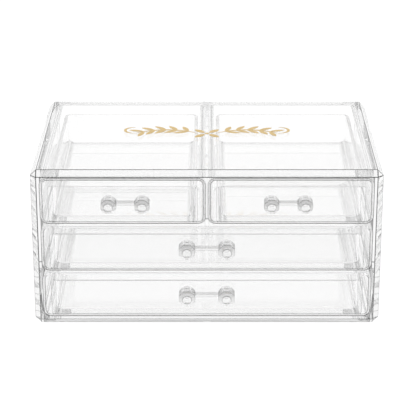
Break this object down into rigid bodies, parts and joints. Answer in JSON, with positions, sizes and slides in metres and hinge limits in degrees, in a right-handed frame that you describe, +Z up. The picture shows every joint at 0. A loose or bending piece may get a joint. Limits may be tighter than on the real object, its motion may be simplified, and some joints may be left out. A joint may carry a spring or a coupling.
{
  "type": "drawer organiser",
  "caption": "Clear bevelled tabletop case with half-width drawers above full-width ones, each pulled open by a faceted two-knob handle, for sorting jewellery.",
  "frame": {"origin": "centre of the flat underside of the case, on the surface it stands on", "axes": "+X to the right as seen from the front, +Y from the drawer fronts to the back, +Z up; the drawers open towards -Y"},
  "size_m": [0.24, 0.1718, 0.1141],
  "materials": {
    "case_plastic": "clear polished moulded plastic",
    "drawer_plastic": "clear polished moulded plastic",
    "pull_plastic": "clear polished moulded plastic, faceted",
    "foil": "thin gold-coloured foil"
  },
  "bodies": {
    "case": {"case": "case_plastic", "foil_ornament": "foil"},
    "top_left_drawer": {"top_left_drawer": "drawer_plastic", "top_left_pull": "pull_plastic"},
    "top_right_drawer": {"top_right_drawer": "drawer_plastic", "top_right_pull": "pull_plastic"},
    "middle_drawer": {"middle_drawer": "drawer_plastic", "middle_pull": "pull_plastic"},
    "bottom_drawer": {"bottom_drawer": "drawer_plastic", "bottom_pull": "pull_plastic"}
  },
  "joints": [
    {"name": "top_left_slide", "type": "slide", "parent": "case", "child": "top_left_drawer", "axis": [0, -1, 0], "range_m": [0, 0.11]},
    {"name": "top_right_slide", "type": "slide", "parent": "case", "child": "top_right_drawer", "axis": [0, -1, 0], "range_m": [0, 0.11]},
    {"name": "middle_slide", "type": "slide", "parent": "case", "child": "middle_drawer", "axis": [0, -1, 0], "range_m": [0, 0.11]},
    {"name": "bottom_slide", "type": "slide", "parent": "case", "child": "bottom_drawer", "axis": [0, -1, 0], "range_m": [0, 0.11]}
  ]
}
